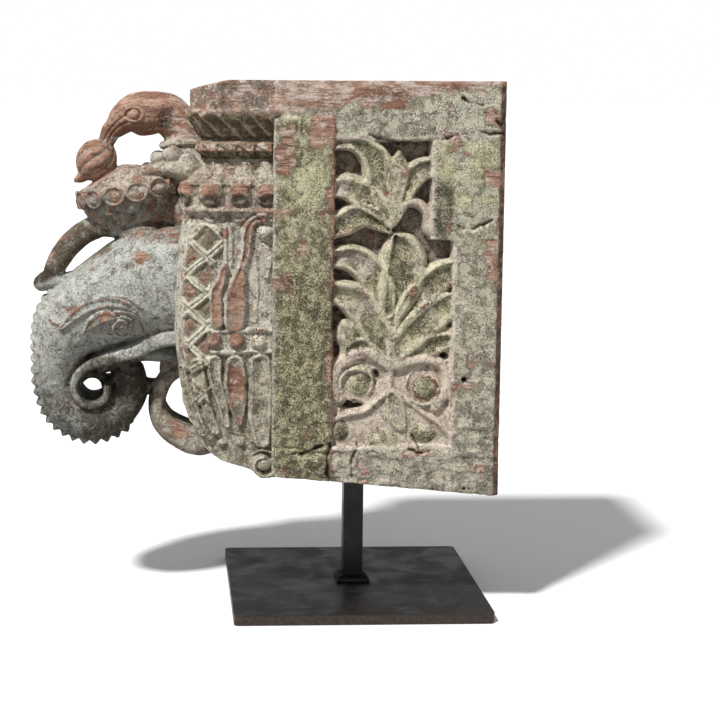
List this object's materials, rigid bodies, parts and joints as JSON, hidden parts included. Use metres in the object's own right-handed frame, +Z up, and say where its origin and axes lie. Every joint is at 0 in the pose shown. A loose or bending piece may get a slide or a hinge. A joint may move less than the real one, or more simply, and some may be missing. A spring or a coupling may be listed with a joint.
{
  "type": "carved wooden corbel on stand",
  "caption": "Carved teak bracket with an elephant's head, curled trunk, bird and lotus, and sunk leaf panels, held upright on a square steel bar and foot plate.",
  "frame": {"origin": "centre of the foot plate's underside", "axes": "+Z up; +X towards the sawn face that stood against the wall, so the elephant looks along -X; the two carved sides face -Y and +Y"},
  "size_m": [0.4556, 0.25, 0.5145],
  "materials": {
    "weathered_teak": "old olive, cream and blue-grey paint, crackled and worn through to bare red-brown teak",
    "waxed_steel": "near-black waxed mill scale, satin, with faint rust at the edges"
  },
  "bodies": {
    "root": {"corbel": "weathered_teak", "upright_bar": "waxed_steel", "base_plate": "waxed_steel", "weld_bead": "waxed_steel"}
  },
  "joints": []
}
